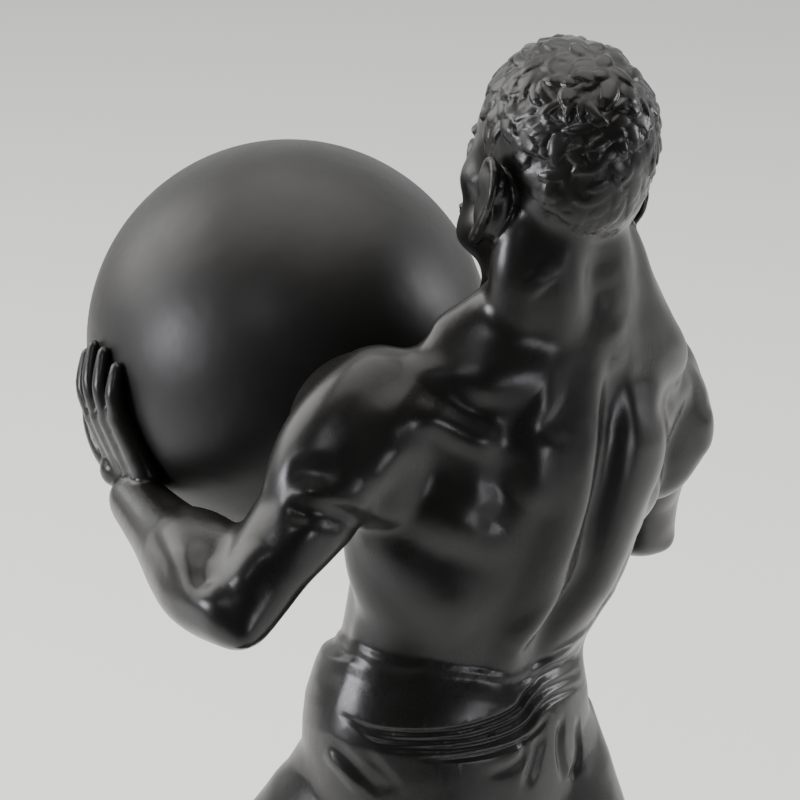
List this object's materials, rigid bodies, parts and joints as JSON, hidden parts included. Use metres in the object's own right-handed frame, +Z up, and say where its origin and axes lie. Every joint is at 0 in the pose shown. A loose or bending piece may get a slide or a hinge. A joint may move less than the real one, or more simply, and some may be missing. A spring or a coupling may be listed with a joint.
{
  "type": "atlas statue",
  "caption": "Standing muscular man in a draped waist wrap, striding and hugging a large smooth globe against his chest, on a low rectangular base; a decorative figure.",
  "frame": {"origin": "centre of the base's underside", "axes": "+Z up, -Y the way the man faces, +X towards his left hand"},
  "size_m": [0.2313, 0.29, 0.6],
  "materials": {
    "figure": "cast resin painted satin black",
    "ball": "cast resin painted matte to satin black",
    "base": "cast resin painted satin black"
  },
  "bodies": {
    "root": {"figure": "figure", "ball": "ball", "base": "base"}
  },
  "joints": []
}
